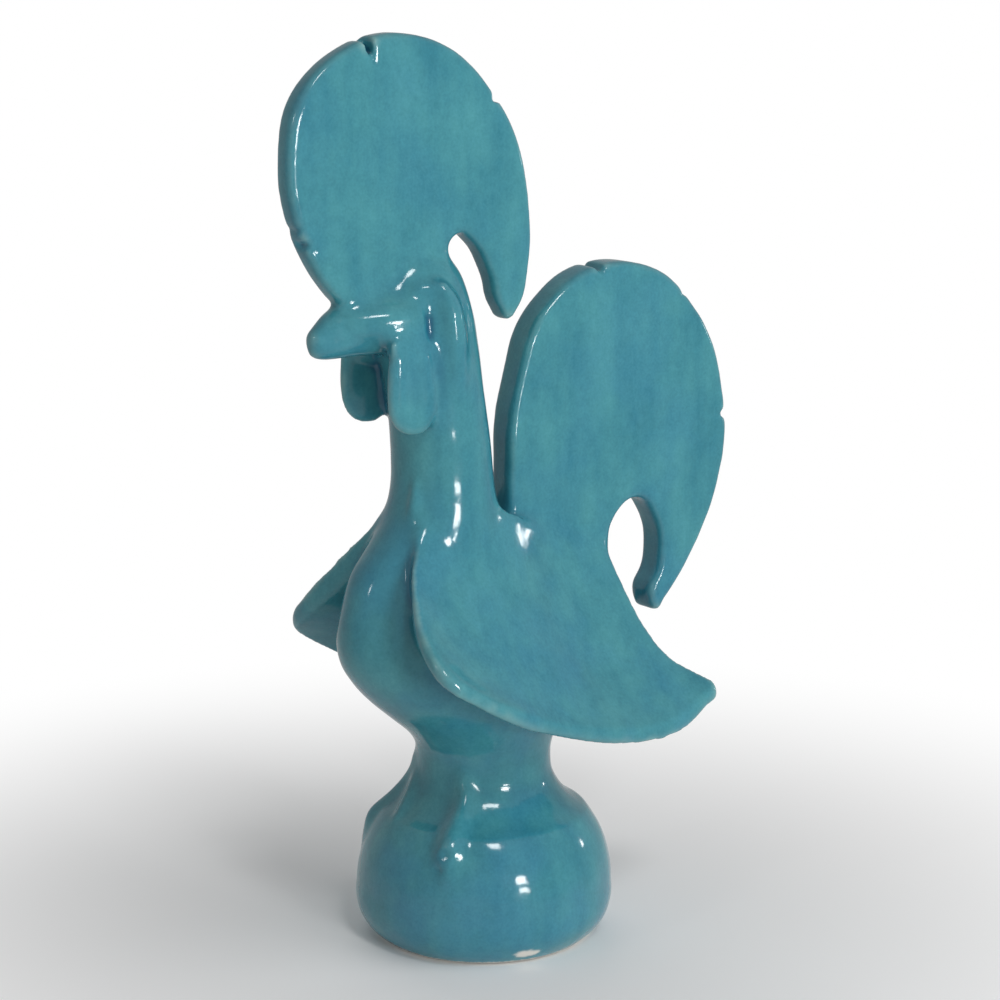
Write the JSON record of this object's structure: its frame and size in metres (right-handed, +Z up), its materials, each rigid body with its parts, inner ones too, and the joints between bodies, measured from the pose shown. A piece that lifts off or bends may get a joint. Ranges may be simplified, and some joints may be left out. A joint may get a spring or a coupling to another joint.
{
  "type": "ceramic rooster figurine",
  "caption": "Standing rooster figurine in turquoise glazed earthenware, hollow below, with a slab comb and tail, saddle wings and a bell foot.",
  "frame": {"origin": "centre of the ring that the foot stands on, on the surface below it", "axes": "+Z up through the waist, the rooster faces -Y and its left side is +X"},
  "size_m": [0.1024, 0.1728, 0.3001],
  "materials": {
    "base_bell": "glossy turquoise glaze",
    "body": "glossy turquoise glaze",
    "comb": "glossy turquoise glaze",
    "tail": "glossy turquoise glaze",
    "wing_left": "glossy turquoise glaze",
    "wing_right": "glossy turquoise glaze",
    "beak": "glossy turquoise glaze",
    "wattle_left": "glossy turquoise glaze",
    "wattle_right": "glossy turquoise glaze",
    "ear_fold_left": "glossy turquoise glaze",
    "ear_fold_right": "glossy turquoise glaze",
    "leg_left": "glossy turquoise glaze",
    "leg_right": "glossy turquoise glaze"
  },
  "bodies": {
    "root": {"base_bell": "base_bell", "body": "body", "comb": "comb", "tail": "tail", "wing_left": "wing_left", "wing_right": "wing_right", "beak": "beak", "wattle_left": "wattle_left", "wattle_right": "wattle_right", "ear_fold_left": "ear_fold_left", "ear_fold_right": "ear_fold_right", "leg_left": "leg_left", "leg_right": "leg_right"}
  },
  "joints": []
}
